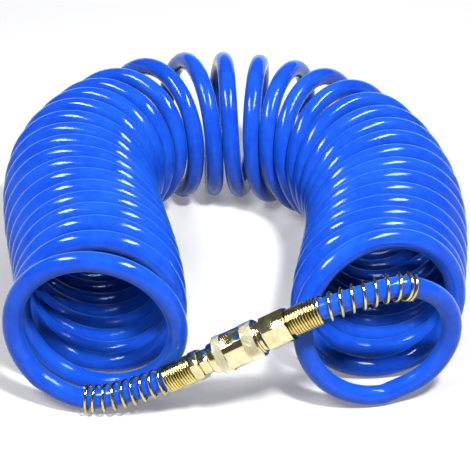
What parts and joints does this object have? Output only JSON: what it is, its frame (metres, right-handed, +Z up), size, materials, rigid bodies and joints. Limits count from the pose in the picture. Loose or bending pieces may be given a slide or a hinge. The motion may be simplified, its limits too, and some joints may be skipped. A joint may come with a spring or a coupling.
{
  "type": "coiled air hose",
  "caption": "Coiled plastic air hose bent into a horseshoe, its two ends joined by a plug in a sleeve quick coupling, each end with a wire spring guard.",
  "frame": {"origin": "centre of the bounding box at the floor", "axes": "+Z up from the floor, +Y from the open front of the horseshoe to its closed back, +X from the plug's end of the hose to the socket's end"},
  "size_m": [0.3, 0.329, 0.1073],
  "materials": {
    "hose": "gloss",
    "plated_steel": "satin",
    "guard_wire": "gloss",
    "bright_steel": "satin",
    "brass": "satin",
    "seal": "matte"
  },
  "bodies": {
    "hose_and_fittings": {"hose": "hose", "plug_spring_guard": "guard_wire", "socket_spring_guard": "guard_wire", "plug_ferrule": "plated_steel", "socket_ferrule": "plated_steel", "plug_nut": "plated_steel", "plug_body": "plated_steel", "plug_packing": "seal", "socket_body": "plated_steel", "lock_balls": "bright_steel", "sleeve_front_ring": "bright_steel", "seal_washer": "seal", "socket_rear_body": "plated_steel", "valve_spring": "bright_steel", "valve_guide": "brass"},
    "sleeve_slider": {"sleeve_spring": "bright_steel"},
    "sleeve": {"sleeve": "plated_steel"},
    "valve": {"valve_poppet": "brass", "valve_seal": "seal"}
  },
  "joints": [
    {"name": "sleeve_slide", "type": "slide", "parent": "hose_and_fittings", "child": "sleeve_slider", "axis": [0.8659, -0.014, 0.5], "range_m": [0, 0.0039], "stiffness_N_per_m": 1500, "springref_m": -0.002, "deforming": ["sleeve_spring"]},
    {"name": "sleeve_spin", "type": "hinge", "parent": "sleeve_slider", "child": "sleeve", "pos_m": [0.0006, -0.15274, 0.048], "axis": [0.8659, -0.014, 0.5], "continuous": true},
    {"name": "valve_slide", "type": "slide", "parent": "hose_and_fittings", "child": "valve", "axis": [0.8659, -0.014, 0.5], "range_m": [0, 0.0016], "stiffness_N_per_m": 300, "springref_m": -0.003, "deforming": ["valve_spring"]}
  ]
}
